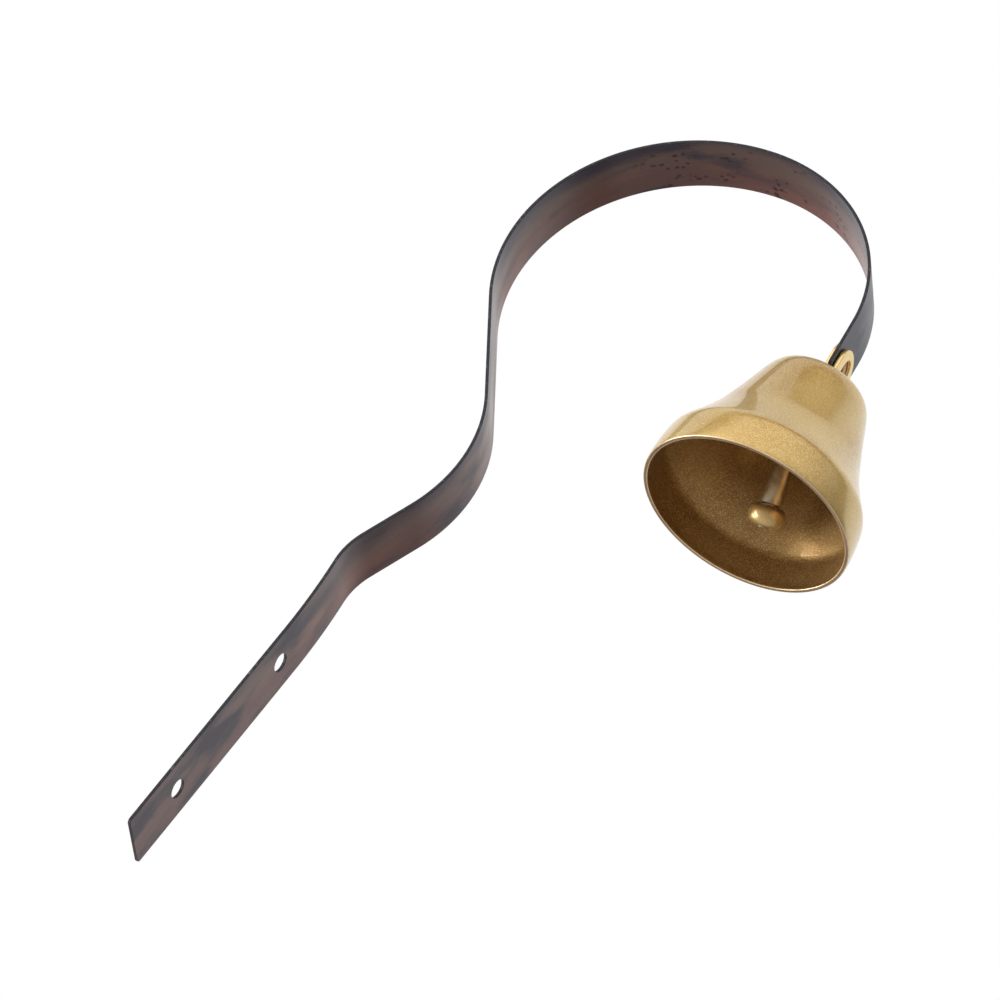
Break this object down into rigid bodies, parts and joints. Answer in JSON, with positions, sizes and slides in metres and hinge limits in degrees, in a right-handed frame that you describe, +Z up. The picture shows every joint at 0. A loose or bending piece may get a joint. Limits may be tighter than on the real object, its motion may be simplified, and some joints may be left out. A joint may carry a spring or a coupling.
{
  "type": "wall mounted bell",
  "caption": "Shopkeeper's wall bell: a hand-bent spring strip with a flat screw-on leg and a big loop, and a flared bell with a swinging clapper riveted to its end.",
  "frame": {"origin": "on the leg's flat wall face, half way between its two screw holes and on the strip's middle line", "axes": "+X away from the wall, +Z up along the leg, Y across the strip"},
  "size_m": [0.1343, 0.0602, 0.2754],
  "materials": {
    "spring_steel": "blued and lacquered spring steel, matt, with tempering clouds",
    "gold_paint": "gold-bronze metallic paint with fine flake",
    "brass": "satin",
    "zinc_steel": "dull zinc plate"
  },
  "bodies": {
    "wall_leg": {"strip_wall_leg": "spring_steel"},
    "loop": {"strip_loop": "spring_steel"},
    "bell": {"bell_shell": "gold_paint", "crown_yoke": "brass", "yoke_rivet": "brass", "clapper_staple": "zinc_steel", "crown_washer": "zinc_steel", "crown_nut": "zinc_steel"},
    "link": {"clapper_link": "zinc_steel"},
    "clapper": {"clapper_rod": "gold_paint", "clapper_head": "gold_paint"}
  },
  "joints": [
    {"name": "strip_flex", "type": "hinge", "parent": "wall_leg", "child": "loop", "pos_m": [-0.0028, 0, 0.1297], "axis": [0, 1, 0], "range_deg": [-8, 8], "stiffness_Nm_per_rad": 1.1, "springref_deg": -4.08},
    {"name": "bell_rock", "type": "hinge", "parent": "loop", "child": "bell", "pos_m": [0.07594, 0, 0.18024], "axis": [0.9925, 0, 0.1219], "range_deg": [-6, 6]},
    {"name": "link_side_swing", "type": "hinge", "parent": "bell", "child": "link", "pos_m": [0.07663, 0, 0.15856], "axis": [0.9925, 0, 0.1219], "range_deg": [-72, 8]},
    {"name": "clapper_swing", "type": "hinge", "parent": "link", "child": "clapper", "pos_m": [0.07715, 0.0027, 0.15427], "axis": [-0.0646, 0.848, 0.526], "range_deg": [-35, 35]}
  ]
}
